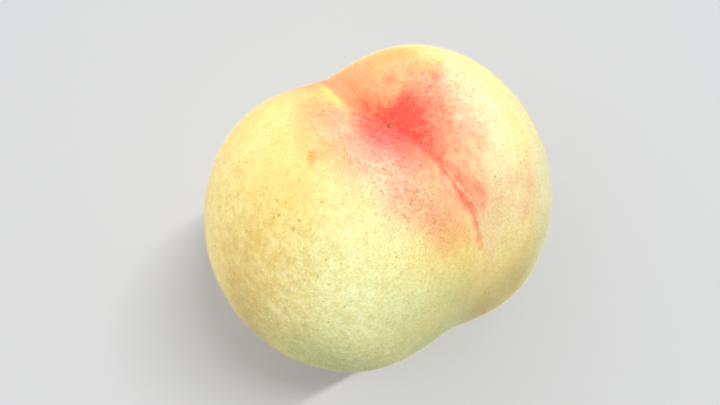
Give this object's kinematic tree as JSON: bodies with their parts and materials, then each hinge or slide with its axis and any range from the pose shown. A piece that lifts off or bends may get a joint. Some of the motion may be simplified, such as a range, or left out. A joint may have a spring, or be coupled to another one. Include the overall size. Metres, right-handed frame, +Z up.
{
  "type": "white peach",
  "caption": "Whole ripe white peach with two uneven lobes, a suture groove, a red blossom-end hollow and a stem cavity below, standing on its stem-end shoulders.",
  "frame": {"origin": "on the table, under the middle of the fruit's box", "axes": "+Z straight up, with the blossom end leaning back from it by 22 degrees, +X towards the suture, +Y towards the smaller lobe"},
  "size_m": [0.0738, 0.0846, 0.0781],
  "materials": {
    "skin": "matt downy fruit skin, pale lemon yellow with a red and pink blush"
  },
  "bodies": {
    "root": {"peach": "skin"}
  },
  "joints": []
}
